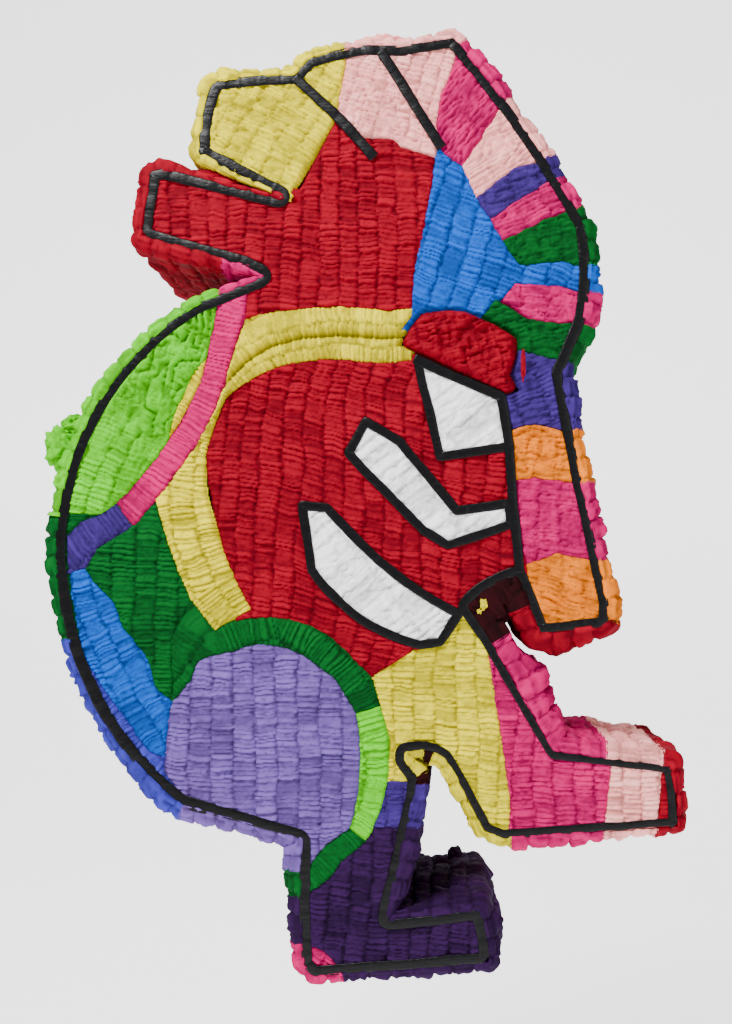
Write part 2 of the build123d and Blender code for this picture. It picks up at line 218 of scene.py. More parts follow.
# gathered crepe paper as a height over the cardboard, with painted shade in its creases and painted highlight in its
# tone
def crepeHeight(u, v, style, seed):  # u across the strips, v along them
    width, pitch = style.get("width", 19.5), style.get("pitch", 4.5)
    u = u + 2.6 * noise(u / 60, v / 45, seed) + 1.3 * noise(u / 13, v / 9, seed + 1)
    column = np.floor(u / width)
    t = u / width - column
    v = v + 1.2 * noise(u / 9, v / 20, seed + 5) + 9 * hashed(column, column * 0, seed + 6)
    slant = (hashed(column, np.floor(v / 60), seed + 4) - 0.5) * style.get("slant", 3.0)
    v = v + slant * (t - 0.5)
    fold = v / pitch + 0.85 * noise(column * 5.3, v / (2.6 * pitch), seed + 8)
    flap = np.floor(fold)
    g = fold - flap
    own = hashed(column, flap, seed + 7)
    other = hashed(column, flap, seed + 17)
    brick = np.floor((fold + 3 * hashed(column, column * 0, seed + 2)) / (style.get("brick", 27.0) / pitch))
    block = hashed(column, brick, seed + 3)
    jag = t + 0.16 * (other - 0.5) + 0.05 * noise(u / 2.5, v / 2.5, seed + 15)
    rim = np.minimum(jag, 1 - jag)
    crown = smooth(-0.02, 0.2, rim)
    lip = g ** (0.8 + 1.4 * other) * smooth(1.0, 0.8, g)
    strength = 0.25 + 1.15 * own
    fine = noise(u / 2.4, v / 1.4, seed + 10)
    puff = noise(u / 40, v / 40, seed + 11)
    lean = (t - 0.5) * (other - 0.5) * 1.6
    h = 1.7 * crown * style.get("crown", 1.0) + 2.6 * lip * strength * style.get("fold", 1.0) + lean * style.get("lap", 1.0)
    h = h + 0.28 * fine + 1.5 * puff * style.get("puff", 1.0) + (1.5 * (block - 0.5) + 0.7 * (own - 0.5)) * style.get("lap", 1.0)
    h = h + 0.6 * noise(u / 6, v / 4, seed + 12) + 0.4
    # painted shade: darker under each pleat flap, in the gaps between strips and in the low spots of the fine crinkle
    under = smooth(0.3, 0.0, g) * smooth(0.25, 0.9, strength) + 0.7 * smooth(0.88, 1.0, g)
    gap = smooth(0.1, 0.0, rim) * (0.35 + 0.65 * other)
    creaseShade = np.clip(1.0 * gap + 0.9 * under * strength + 0.35 * smooth(-0.3, -0.9, fine), 0, 1)
    # tone: random per strip and tile, plus painted highlight where the pleat lip and the fine crinkle stand high
    toneAndHighlight = 0.5 + 0.5 * (own - 0.5) + 0.5 * (block - 0.5) + 0.22 * (lip - 0.4) + 0.14 * fine + 0.2 * noise(u / 9, v / 5, seed + 13)
    return h, creaseShade, toneAndHighlight


def ruffleHeight(u, v, style, seed):  # crumpled, with folds that wander
    bend = 5 * noise(u / 22, v / 22, seed) + 2 * noise(u / 9, v / 9, seed + 1)
    wide, long = style.get("rope", (9, 6.5))  # how far a fold reaches across and along
    one = np.abs(noise((u + bend) / wide, (v + bend) / long, seed + 2))
    two = np.abs(noise((u - bend) / 4.5, v / 3.2, seed + 3))
    lump = noise(u / 17, v / 13, seed + 4)
    h = 8.5 * one * style.get("fold", 1.0) + 4.2 * two + 2.2 * lump
    # painted shade in the low folds; tone random, plus painted highlight on the raised lumps
    creaseShade = np.clip(1.15 - 3.1 * one + 0.6 * (1 - 3 * two), 0, 1)
    toneAndHighlight = 0.5 + 0.3 * lump + 0.25 * noise(u / 5, v / 5, seed + 5)
    return h, creaseShade, toneAndHighlight


def patchHeight(points, style, seed):
    kind = style.get("kind", "columns")
    if kind == "path":
        u, v = alongPath(points, np.array(style["path"], float))
        u = u + style.get("width", 24.0) * 0.5
    else:
        lean = math.radians(style.get("lean", 0.0) + 0.0)
        x, z = points[:, 0], points[:, 1]
        fan = style.get("fan", 0.0)
        swing = fan * noise(x / 110, z / 110, seed + 20)
        u = x * math.cos(lean) - z * math.sin(lean) + swing
        v = -(x * math.sin(lean) + z * math.cos(lean)) + swing * 0.5
    if kind == "ruffle":
        return ruffleHeight(u, v, style, seed)
    h, creaseShade, toneAndHighlight = crepeHeight(u, v, style, seed)
    for x, z, reach, amount in style.get("crumple", []):
        share = amount * np.exp(-((np.hypot(points[:, 0] - x, points[:, 1] - z) / reach) ** 4))
        h2, creaseShade2, toneAndHighlight2 = ruffleHeight(u, v, style, seed)
        h, creaseShade, toneAndHighlight = h + (h2 - h) * share, creaseShade + (creaseShade2 - creaseShade) * share, toneAndHighlight + (toneAndHighlight2 - toneAndHighlight) * share
    return h, creaseShade, toneAndHighlight


# black tape lines, as centre lines in mm
lines = {
    "tape_shoulder": {"path": [(28, -293), (109, -328), (117, -375), (120, -429), (126, -492)], "width": 9.0},
    "tape_brow": {"path": [(-83, -31), (-48, -63), (-9, -106)], "width": 9.5},
    "tape_crest": {"path": [(-3, -7), (24, -50), (54, -97)], "width": 9.5},
}


def patchSheet(name, side, style, seed, cell):  # one face of a patch as a closed, gathered sheet
    level = style.get("level", face["crepe"]) if side < 0 else face["crepe"]
    loops = flatLoops(name, side * (face["half"] + level))
    if not loops:
        return []
    corners = np.vstack(loops)
    low, high = corners.min(0) - 9, corners.max(0) + 9
    nx, nz = max(2, int((high[0] - low[0]) / cell)), max(2, int((high[1] - low[1]) / cell))
    bm = bmesh.new()
    creaseShadeLayers = bm.verts.layers.float.new("creaseShade")
    toneAndHighlightLayers = bm.verts.layers.float.new("toneAndHighlight")
    bmesh.ops.create_grid(bm, x_segments=nx, y_segments=nz, size=0.5)
    points = np.array([v.co[:2] for v in bm.verts]) + 0.5
    points = points * (high - low) + low
    inside = signedDistance(points, loops)
    inside = inside + style.get("grow", 0.8)
    inside = inside + style.get("ragged", face["ragged"]) * (noise(points[:, 0] / 4, points[:, 1] / 4, seed + 30) + 0.6 * noise(points[:, 0] / 14, points[:, 1] / 14, seed + 31))
    for x, z, reach in style.get("cut", []):
        inside = np.minimum(inside, np.hypot(points[:, 0] - x, points[:, 1] - z) - reach)
    keep = (inside > -face["under"]) & (signedDistance(points, [outline]) > -1.0)
    verts = list(bm.verts)
    bmesh.ops.delete(bm, geom=[v for v, k in zip(verts, keep) if not k], context="VERTS")
    bmesh.ops.delete(bm, geom=[v for v in bm.verts if not v.link_faces], context="VERTS")
    points, inside = points[keep], inside[keep]
    verts = list(bm.verts)
    if len(verts) != len(points):  # stray corners went too, so the places are read again
        size = high - low
        points = np.array([v.co[:2] for v in verts])
        points = (points + 0.5) * size + low
        inside = signedDistance(points, loops) + style.get("grow", 0.8)
    within = signedDistance(points, [outline])
    h, creaseShade, toneAndHighlight = patchHeight(points, style, seed)
    base = style.get("base", 2.6)
    h = base + h + style.get("rise", 0.0)
    if "ridge" in style:  # long gathered rolls beside a fold, with painted shade along the fold line
        away, run = alongPath(points, np.array(style["ridge"]["path"], float))
        fold = np.exp(-((away / 2.4) ** 2))
        h = h + style["ridge"]["high"] * (np.exp(-(((np.abs(away) - 10) / 8.0) ** 2)) - fold)
        creaseShade = np.clip(creaseShade + 0.8 * fold, 0, 1)
    roll = smooth(-0.6, style.get("roll", 2.8), inside)
    h = h * (0.5 + 0.5 * roll) * smooth(-1.3, 0.2, inside)
    # painted shade: darker along the patch border where the paper rolls under, fading out beyond it
    creaseShade = np.clip(creaseShade + 0.3 * (1 - smooth(-0.6, 1.4, inside)), 0, 1) * smooth(-2.5, -0.6, inside)
    h = h * (0.25 + 0.75 * smooth(-3.5, 4.0, within))
    h = np.clip(h, 0.7, 30)
    if side < 0:
        pressed = smooth(11.5, 9.5, within)
        for line in lines.values():
            away, run = alongPath(points, np.array(line["path"], float))
            total = sum(math.dist(a, b) for a, b in zip(line["path"], line["path"][1:]))
            ends = smooth(-4, 0, run) * smooth(total + 4, total, run)
            pressed = np.maximum(pressed, smooth(line["width"] * 0.62, line["width"] * 0.5, np.abs(away)) * ends)
        for claw in clawLoops:
            away = np.abs(signedDistance(points, [claw]))
            pressed = np.maximum(pressed, smooth(6.2, 4.8, away))
        h = h * (1 - pressed) + np.minimum(h, 5.6) * pressed
    depth = side * (face["half"] + h)
    for v, p, y, c, t in zip(verts, points, depth, creaseShade, toneAndHighlight):
        v.co = (p[0] / 1000, y / 1000, p[1] / 1000)
        v[creaseShadeLayers] = c
        v[toneAndHighlightLayers] = t
    border = [e for e in bm.edges if e.is_boundary]
    grown = bmesh.ops.extrude_edge_only(bm, edges=border)["geom"]
    for g in grown:
        if isinstance(g, bmesh.types.BMVert):
            g.co.y = side * (face["half"] + 0.6) / 1000
    border = [e for e in bm.edges if e.is_boundary]
    bmesh.ops.triangle_fill(bm, use_beauty=False, use_dissolve=False, edges=border)
    bmesh.ops.recalc_face_normals(bm, faces=bm.faces)
    return [bm]


# the puffed side walls
hole = {"half": 10.5, "reach": 10.5}  # opening left round the hanging hole, mm
# recolor hands some wall lengths to a patch; the dark lining entry puts the near-black paper on a short down-facing
# wall at the arch top, as painted shade
wall = {"half": 86.5, "puff": 11.0, "round": 13.0, "tuck": 1.2, "step": 1.6, "rowStep": 3.0, "recolor": [("crepe_belly_red", 172, -553, 48, 1), ("crepe_thigh_yellow", 42, -668, 40, 1), ("crepe_thigh_yellow", 42, -668, 40, -1), ("crepe_dark_lining", 40, -664, 7, 1), ("crepe_head_red", -112, -138, 48, -1)]}


def wallSection(puff):  # outer side from the front face round to the back face
    half, turn, tuck = wall["half"], wall["round"], wall["tuck"]
    points = [(-tuck, -half + 3.5), (-tuck / 2, -half + 1.6)]
    for k in range(9):
        a = math.radians(90 * k / 8)
        points.append((puff - turn + turn * math.sin(a), -half + turn - turn * math.cos(a)))
    rows = int((2 * half - 2 * turn) / wall["rowStep"])
    for k in range(1, rows):
        points.append((puff, -half + turn + (2 * half - 2 * turn) * k / rows))
    back = [(r, -y) for r, y in points[:11]][::-1]
    return np.array(points + back)


def wallTube(start, end, style, seed, part=0):  # one length of puffed wall, closed all round
    section = wallSection(wall["puff"])
    lengths = np.concatenate([[0], np.cumsum(np.hypot(*np.diff(section, axis=0).T))])
    slope = np.gradient(section, axis=0)
    slope /= np.hypot(slope[:, 0], slope[:, 1])[:, None]
    normal = np.stack([slope[:, 1], -slope[:, 0]], 1)
    inner = np.array([(-wall["tuck"], 80.7), (0.7, 80.7), (0.7, -80.7), (-wall["tuck"], -80.7)])
    whole = lengths[-1]
    if part:  # only the front or the back half, beside the hanging hole
        kept = section[:, 1] * part > hole["half"]
        section, normal, lengths = section[kept], normal[kept], lengths[kept]
        inner = inner[:2] if part > 0 else inner[2:]
        inner = np.vstack([inner, [(0.7, hole["half"])]]) if part > 0 else np.vstack([[(0.7, -hole["half"])], inner])
    outer = len(section)
    count = max(3, int((end - start) / wall["step"]))
    rows = outer + len(inner)
    bm = bmesh.new()
    creaseShadeLayers = bm.verts.layers.float.new("creaseShade")
    toneAndHighlightLayers = bm.verts.layers.float.new("toneAndHighlight")
    bmesh.ops.create_grid(bm, x_segments=count, y_segments=rows, size=0.5)
    verts = list(bm.verts)
    grid = np.array([v.co[:2] for v in verts]) + 0.5
    s = start + grid[:, 0] * (end - start)
    j = np.rint(grid[:, 1] * rows).astype(int) % rows
    isOuter = j < outer
    jo = np.minimum(j, outer - 1)
    length = lengths[jo]
    # the strips' painted crease shade and highlight tone are laid on the wall too
    h, creaseShade, toneAndHighlight = crepeHeight(s, length - whole / 2, style, seed)
    lump = noise(s / 30, length / 40, seed + 40)
    scallop = 1.75 * (h - 2.6) + 1.8 * lump
    free = smooth(0, 14, length) * smooth(whole, whole - 14, length)
    push = scallop * (0.25 + 0.75 * free)
    extra = np.zeros(len(s))
    here = onRim(s, rim)
    for swell in swells:
        away = np.hypot(here[:, 0] - swell["at"][0], here[:, 1] - swell["at"][1])
        extra += swell["high"] * np.exp(-((away / swell["wide"]) ** 2))
    r = section[jo, 0] + normal[jo, 0] * push
    y = section[jo, 1] + normal[jo, 1] * push * 0.6
    r = np.where(r > 0, r + extra * np.clip(r / wall["puff"], 0, 1), r)
    r = np.where(isOuter, r, inner[np.clip(j - outer, 0, len(inner) - 1), 0])
    y = np.where(isOuter, y, inner[np.clip(j - outer, 0, len(inner) - 1), 1])
    space = onRim(s, room)
    r = np.where(r > 0.7, 0.7 + np.minimum(r - 0.7, np.maximum(space - 0.7, 0.2) * (1 - np.exp(-(r - 0.7) / np.maximum(space, 0.5)))) , r)
    inward = np.minimum(1.0, np.maximum(onRim(s, inRoom) * 0.8, 1.0) / wall["tuck"])
    r = np.where(r < 0, r * inward, r)
    spot = here + onRim(s, outward) * r[:, None]
    for v, p, depth, c, t in zip(verts, spot, y, creaseShade, toneAndHighlight):
        v.co = (p[0] / 1000, depth / 1000, p[1] / 1000)
        v[creaseShadeLayers] = c
        v[toneAndHighlightLayers] = t
    first = [v for v, q in zip(verts, grid[:, 1]) if q < 0.25 / rows or q > 1 - 0.25 / rows]
    bmesh.ops.remove_doubles(bm, verts=first, dist=1e-6)
    border = [e for e in bm.edges if e.is_boundary]
    bmesh.ops.holes_fill(bm, edges=border, sides=0)
    bmesh.ops.recalc_face_normals(bm, faces=bm.faces)
    return bm


inRoom = np.full(len(rim), 50.0)
swells = [
    {"at": (112, -528), "high": 45, "wide": 42},
    {"at": (34, -672), "high": 13, "wide": 24},
    {"at": (124, -596), "high": 22, "wide": 56},
    {"at": (-80, -770), "high": 6, "wide": 40},
    {"at": (175, -548), "high": 4, "wide": 30},
    {"at": (-180, -722), "high": 5, "wide": 60},
]
clawLoops = flatLoops("crepe_claws", -face["half"] - face["crepe"])


def ownerRuns(names):  # which patch covers each length of the wall
    tests = rim + outward * 2.5
    owner = np.full(len(rim), -1)
    nearest = np.full(len(rim), -1e9)
    for k, name in enumerate(names):
        loops = flatLoops(name, -face["half"] - face["crepe"])
        if not loops:
            continue
        depth = signedDistance(tests, loops)
        better = depth > nearest
        owner[better] = k
        nearest = np.where(better, depth, nearest)
    for name, x, z, reach, down in wall["recolor"]:
        near = np.hypot(rim[:, 0] - x, rim[:, 1] - z) < reach
        owner[near & (outward[:, 1] * down < -0.3)] = names.index(name)
    for again in range(3):  # lengths too short to be a strip join their neighbour
        edges = [0] + [k for k in range(1, len(owner)) if owner[k] != owner[k - 1]] + [len(owner)]
        for a, b in zip(edges, edges[1:]):
            if b - a < 7 and a > 0:
                owner[a:b] = owner[a - 1]
    edges = [0] + [k for k in range(1, len(owner)) if owner[k] != owner[k - 1]] + [len(owner)]
    scale = rimLength / len(rim)
    runs = {}
    for a, b in zip(edges, edges[1:]):
        runs.setdefault(names[owner[a]], []).append((a * scale, b * scale))
    return runs


def asObject(name, parts, material):
    objects = []
    for bm in parts:
        for f in bm.faces:
            f.smooth = True
        mesh = bpy.data.meshes.new(name)
        bm.to_mesh(mesh)
        bm.free()
        obj = bpy.data.objects.new(name, mesh)
        scene.collection.objects.link(obj)
        objects.append(obj)
    first = objects[0]
    if len(objects) > 1:
        with bpy.context.temp_override(active_object=first, object=first, selected_objects=objects, selected_editable_objects=objects):
            bpy.ops.object.join()
    first.name = name
    first.data.materials.clear()
    first.data.materials.append(material)
    return first


# finishes
def nodeGroup(name, inputs, outputs):
    group = bpy.data.node_groups.new(name, "ShaderNodeTree")
    for label, kind, value in inputs:
        socket = group.interface.new_socket(label, in_out="INPUT", socket_type=kind)
        socket.default_value = value
    for label, kind in outputs:
        group.interface.new_socket(label, in_out="OUTPUT", socket_type=kind)
    return group, group.nodes.new("NodeGroupInput"), group.nodes.new("NodeGroupOutput")


def crinkleGroup():  # fine crepe grain: a mask and a normal
    group, given, out = nodeGroup("crepeGrain", [("Scale", "NodeSocketFloat", 900.0), ("Strength", "NodeSocketFloat", 0.3)], [("Mask", "NodeSocketFloat"), ("Normal", "NodeSocketVector")])
    nodes, links = group.nodes, group.links
    place = nodes.new("ShaderNodeTexCoord")
    fibres = nodes.new("ShaderNodeMapping")
    fibres.inputs["Scale"].default_value = (0.4, 0.4, 1.5)
    grain = nodes.new("ShaderNodeTexNoise")
    grain.inputs["Detail"].default_value = 4
    grain.inputs["Roughness"].default_value = 0.65
    links.new(place.outputs["Object"], fibres.inputs["Vector"])
    links.new(fibres.outputs["Vector"], grain.inputs["Vector"])
    links.new(given.outputs["Scale"], grain.inputs["Scale"])
    bump = nodes.new("ShaderNodeBump")
    bump.inputs["Distance"].default_value = 0.0008
    links.new(given.outputs["Strength"], bump.inputs["Strength"])
    links.new(grain.outputs["Fac"], bump.inputs["Height"])
    links.new(grain.outputs["Fac"], out.inputs["Mask"])
    links.new(bump.outputs["Normal"], out.inputs["Normal"])
    return group


grainGroup = crinkleGroup()


def newMaterial(name):
    material = bpy.data.materials.new(name)
    material.use_nodes = True
    tree = material.node_tree
    shader = [n for n in tree.nodes if n.type == "BSDF_PRINCIPLED"][0]
    return material, tree.nodes, tree.links, shader


def crepeMaterial(name, color):
    material, nodes, links, shader = newMaterial(name)
    creaseShade = nodes.new("ShaderNodeAttribute")
    creaseShade.attribute_name = "creaseShade"
    toneAndHighlight = nodes.new("ShaderNodeAttribute")
    toneAndHighlight.attribute_name = "toneAndHighlight"
    grain = nodes.new("ShaderNodeGroup")
    grain.node_tree = grainGroup
    grain.inputs["Scale"].default_value = 1100
    grain.inputs["Strength"].default_value = 0.35
    # ramp from a darker to a paler copy of the paper colour by tone: random tone plus painted highlight
    ramp = nodes.new("ShaderNodeValToRGB")
    ramp.color_ramp.elements[0].position = 0.1
    ramp.color_ramp.elements[0].color = (*color["dark"], 1)
    ramp.color_ramp.elements[1].position = 0.9
    ramp.color_ramp.elements[1].color = (*color["light"], 1)
    middle = ramp.color_ramp.elements.new(0.5)
    middle.color = (*color["main"], 1)
    add = nodes.new("ShaderNodeMath")
    add.operation = "MULTIPLY_ADD"
    add.inputs[1].default_value = 0.5
    links.new(grain.outputs["Mask"], add.inputs[0])
    shifted = nodes.new("ShaderNodeMath")
    shifted.operation = "SUBTRACT"
    shifted.inputs[1].default_value = 0.25
    links.new(toneAndHighlight.outputs["Fac"], shifted.inputs[0])
    links.new(shifted.outputs[0], add.inputs[2])
    links.new(add.outputs[0], ramp.inputs["Fac"])
    # painted shade: the crease copy of the paper colour is mixed in by the crease shade attribute, times the shade
    # strength (depth)
    shadeMix = nodes.new("ShaderNodeMix")
    shadeMix.data_type = "RGBA"
    shadeMix.inputs["B"].default_value = (*color["creaseShade"], 1)
    strength = nodes.new("ShaderNodeMath")
    strength.operation = "MULTIPLY"
    strength.inputs[1].default_value = color.get("depth", 0.8)
    links.new(creaseShade.outputs["Fac"], strength.inputs[0])
    links.new(strength.outputs[0], shadeMix.inputs["Factor"])
    links.new(ramp.outputs["Color"], shadeMix.inputs["A"])
    links.new(shadeMix.outputs["Result"], shader.inputs["Base Color"])
    links.new(grain.outputs["Normal"], shader.inputs["Normal"])
    sheen = nodes.new("ShaderNodeMapRange")
    sheen.inputs["To Min"].default_value = 0.62
    sheen.inputs["To Max"].default_value = 0.95
    links.new(grain.outputs["Mask"], sheen.inputs["Value"])
    links.new(sheen.outputs["Result"], shader.inputs["Roughness"])
    shader.inputs["Specular IOR Level"].default_value = 0.06
    return material


def toLinear(r, g, b):
    out = []
    for c in (r, g, b):
        c = c / 255
        out.append(c / 12.92 if c <= 0.04045 else ((c + 0.055) / 1.055) ** 2.4)
    return out


# paper colour with a darker and a paler copy for random tone and painted highlight, a crease copy for painted shade
# with its strength (depth), and a whitening wash for the painted highlight
def shades(r, g, b, dark=0.6, light=1.3, creaseShade=0.36, highlightWash=0.0, depth=0.95):
    main = np.array(toLinear(r, g, b))
    pale = main * light * (1 - highlightWash) + highlightWash * 0.9 * max(main)
    return {"main": list(main), "dark": list(main * dark), "light": list(np.clip(pale, 0, 1)), "creaseShade": list(main * creaseShade), "depth": depth}


colors = {  # paper colours, 0 to 255; a crease share sets how dark that colour's painted crease shade is
    "red": shades(130, 0, 25),
    "yellow": shades(203, 188, 0, creaseShade=0.42),
    "blush": shades(245, 155, 150, creaseShade=0.45),
    "rose": shades(180, 0, 88),
    "indigo": shades(55, 35, 105),
    "sky": shades(10, 75, 170),
    "violet": shades(52, 52, 150),
    "green": shades(5, 75, 25),
    "lime": shades(80, 180, 0, creaseShade=0.42),
    "orange": shades(216, 113, 0, creaseShade=0.42),
    "lavender": shades(100, 75, 145),
    "purple": shades(40, 15, 55),
    "white": shades(245, 245, 245, creaseShade=0.5),
    # dark red crepe made near black to stand for the shade in the recess it lines: partly paper colour, partly painted
    # shade
    "maroonAndShade": shades(34, 3, 7),
}
papers = {name: crepeMaterial("paper_" + name, color) for name, color in colors.items()}


def mm(*pairs):
    return [tuple(p) for p in pairs]


ringPath = mm((-171, -580), (-157, -559), (-125, -545), (-96, -541), (-69, -554), (-46, -573), (-24, -601), (-15, -621), (-6, -647), (-4, -680), (-11, -712), (-26, -738), (-46, -755), (-67, -776), (-92, -791))
collarPath = mm((40, -270), (26, -271), (-3, -273), (-41, -270), (-78, -273), (-106, -281), (-129, -296), (-148, -314), (-166, -336), (-184, -378), (-187, -424), (-180, -466), (-166, -508), (-142, -540))
patches = {  # paper colour and how it is gathered
    "crepe_shoulder_ruffle": {"paper": "red", "level": 11, "grow": 6.0, "rise": 5.0, "fold": 1.5, "lean": -14, "lap": 1.6, "width": 17, "crumple": [(75, -275, 50, 0.55)], "roll": 5.0, "ragged": 3.6},
    "crepe_claws": {"paper": "white", "lean": -38, "width": 44, "pitch": 12, "fold": 1.3, "crumple": [(0, -450, 400, 0.3)], "lap": 0.6, "crown": 0.4, "rise": 0.6},
    "crepe_tongue": {"paper": "rose", "kind": "path", "path": mm((-134, -203), (-145, -249), (-152, -285), (-161, -322), (-173, -350), (-189, -376), (-214, -410), (-244, -445)), "width": 26, "brick": 30, "fold": 0.75, "lap": 0.7, "rise": 1.4, "puff": 0.5},
    "crepe_nose": {"paper": "yellow", "cut": [(-79, -147, 14)], "lean": 28, "fan": 8, "fold": 1.1, "rope": (12, 5), "crumple": [(-110, -100, 300, 0.35)]},
    "crepe_brow": {"paper": "blush", "lean": 16, "fan": 6, "fold": 1.1, "width": 15, "ragged": 3.2, "crumple": [(-10, -70, 60, 0.4)]},
    "crepe_crest_rose": {"paper": "rose", "lean": -50, "fan": 10, "lap": 0.6, "crown": 0.6, "width": 30, "rope": (12, 5), "crumple": [(120, -60, 300, 0.45)]},
    "crepe_crest_blush": {"paper": "blush", "lean": -30, "width": 30, "lap": 0.7, "rope": (12, 5), "crumple": [(150, -110, 300, 0.4)]},
    "crepe_braid_indigo": {"paper": "indigo", "lean": -16, "width": 26, "rope": (12, 5), "crumple": [(170, -140, 300, 0.4)]},
    "crepe_braid_rose_top": {"paper": "rose", "lean": -24, "width": 26, "rope": (12, 5), "crumple": [(170, -160, 300, 0.4)]},
    "crepe_braid_green": {"paper": "green", "lean": -10, "width": 22, "rope": (12, 5), "crumple": [(170, -200, 300, 0.4)]},
    "crepe_neck_blue": {"paper": "sky", "lean": 20, "fan": 6},
    "crepe_braid_rose_mid": {"paper": "rose", "lean": 4, "width": 24, "rope": (12, 5), "crumple": [(170, -240, 300, 0.5)]},
    "crepe_braid_orange": {"paper": "orange", "lean": 8, "fan": 10, "fold": 1.2, "rope": (12, 5), "crumple": [(170, -400, 400, 0.5)]},
    "crepe_braid_rose_low": {"paper": "rose", "lean": 6, "width": 21, "rope": (12, 5), "crumple": [(170, -440, 300, 0.4)]},
    # lining of the recess in the near-black maroon paper, dark as painted shade
    "crepe_dark_lining": {"paper": "maroonAndShade", "kind": "ruffle"},
    "crepe_collar": {"paper": "yellow", "kind": "path", "path": collarPath, "width": 21, "offset": 0, "fold": 1.3, "brick": 24, "ridge": {"path": mm((40, -270), (26, -271), (-3, -273), (-41, -270), (-78, -273), (-106, -281), (-129, -296), (-148, -316)), "high": 4.6}},
    "crepe_elbow_indigo": {"paper": "indigo", "kind": "path", "path": mm((-300, -477), (-246, -437)), "width": 30, "fold": 0.9},
    "crepe_flank_blue": {"paper": "sky", "kind": "path", "path": mm((-285, -488), (-275, -526), (-253, -578), (-232, -619), (-206, -662)), "width": 19, "offset": 0},
    "crepe_rump_violet": {"paper": "violet", "kind": "path", "path": mm((-292, -555), (-264, -610), (-236, -652), (-200, -690)), "width": 26, "offset": 0},
    "crepe_ring_green": {"paper": "green", "kind": "path", "path": ringPath, "width": 27, "fold": 1.1, "lap": 0.5, "rise": 1.0},
    "crepe_ring_lime": {"paper": "lime", "kind": "path", "path": ringPath, "width": 27, "fold": 0.9, "lap": 0.6, "rise": 1.0, "brick": 34},
    "crepe_thigh_lavender": {"paper": "lavender", "lean": 0, "fan": 3, "width": 20},
    "crepe_knee_blue": {"paper": "indigo", "lean": -3, "width": 18},
    "crepe_heel_rose": {"paper": "rose", "lean": 40},
    "crepe_foot_purple": {"paper": "purple", "lean": 4, "fan": 6},
    "crepe_thigh_yellow": {"paper": "yellow", "lean": 3, "fan": 6, "crown": 0.7},
    "crepe_leg_rose": {"paper": "rose", "lean": 1, "width": 19},
    "crepe_instep_blush": {"paper": "blush", "lean": 0, "width": 17},
    "crepe_toe_red": {"paper": "red", "lean": 0, "width": 17},
    "crepe_lime_back": {"paper": "lime", "lean": 22, "fan": 8, "brick": 23, "lap": 1.3, "rope": (6.5, 15), "crumple": [(-185, -300, 95, 0.9)]},
    "crepe_flank_green": {"paper": "green", "lean": 2, "fan": 8, "width": 22},
    "crepe_belly_red": {"paper": "red", "lean": 10, "fan": 16, "width": 18.5},
    "crepe_head_red": {"paper": "red", "lean": 2, "fan": 5, "width": 17.5},
}
lumps = {  # small crumpled wads: place, size, all mm
    "crepe_lime_back": [{"at": (-311, -54, -372), "size": (17, 16, 23)}, {"at": (-303, -48, -352), "size": (12, 14, 14)}],
    "crepe_brow": [{"at": (2, -66, 7), "size": (25, 12, 12)}],
    "crepe_foot_purple": [{"at": (67, 66, -796), "size": (9, 10, 8)}],
    "crepe_thigh_yellow": [{"at": (93, -84, -520), "size": (4, 3, 7)}, {"at": (89, -82, -528), "size": (3, 3, 4)}],
    "crepe_braid_orange": [{"at": (163, -64, -558), "size": (13, 10, 6)}],
    "crepe_shoulder_ruffle": [{"at": (129, -93, -300), "size": (2.5, 2, 15)}],
}


def crumpledWad(lump, seed):
    bm = bmesh.new()
    creaseShadeLayers = bm.verts.layers.float.new("creaseShade")
    toneAndHighlightLayers = bm.verts.layers.float.new("toneAndHighlight")
    bmesh.ops.create_icosphere(bm, subdivisions=5, radius=1)
    verts = list(bm.verts)
    p = np.array([v.co[:] for v in verts])
    one = np.abs(noise(p[:, 0] * 2.6 + 9, p[:, 2] * 3.4 + p[:, 1] * 2, seed))
    two = noise(p[:, 0] * 5 - p[:, 1] * 4, p[:, 2] * 7, seed + 1)
    out = 0.78 + 0.34 * one + 0.1 * two
    for v, q, r, a, b in zip(verts, p, out, one, two):
        v.co = [(c + q[k] * r * w) / 1000 for k, (c, w) in enumerate(zip(lump["at"], lump["size"]))]
        # painted shade in the wad's dents and folds; tone paler where it puffs out, as painted highlight
        v[creaseShadeLayers] = min(1.0, max(0.0, 0.8 - 3 * a))
        v[toneAndHighlightLayers] = 0.5 + 0.35 * b
    return bm


runs = ownerRuns(list(patches))
holeRun = float(np.argmin(np.hypot(rim[:, 0], rim[:, 1] * 0.2 - 1) + 99 * (rim[:, 1] < -60))) * rimLength / len(rim)
for seed, (name, style) in enumerate(patches.items()):
    parts = patchSheet(name, -1, style, 100 + seed * 50, face["cell"])
    parts += patchSheet(name, 1, style, 100 + seed * 50, face["backCell"])
    wallStyle = {"width": 19.0, "brick": 26.0, "pitch": 5.0, "lap": 1.0, "fold": 1.1}
    for a, b in runs.get(name, []):
        a, b = a - 0.8, b + 0.8
        if a < holeRun - 12 and b > holeRun + 12:
            parts.append(wallTube(a, holeRun - hole["reach"], wallStyle, 9))
            parts += [wallTube(holeRun - hole["reach"], holeRun + hole["reach"], wallStyle, 9, end) for end in (-1, 1)]
            a = holeRun + hole["reach"]
        parts.append(wallTube(a, b, wallStyle, 9))
    for k, lump in enumerate(lumps.get(name, [])):
        parts.append(crumpledWad(lump, 700 + k))
    piece = asObject(name.replace("crepe", "paper"), parts, papers[style["paper"]])
    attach(piece, "body")
    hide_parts(name)
print("stage: crepe papers")


tape = {"level": 86.0, "thick": 0.5, "wave": 0.3}


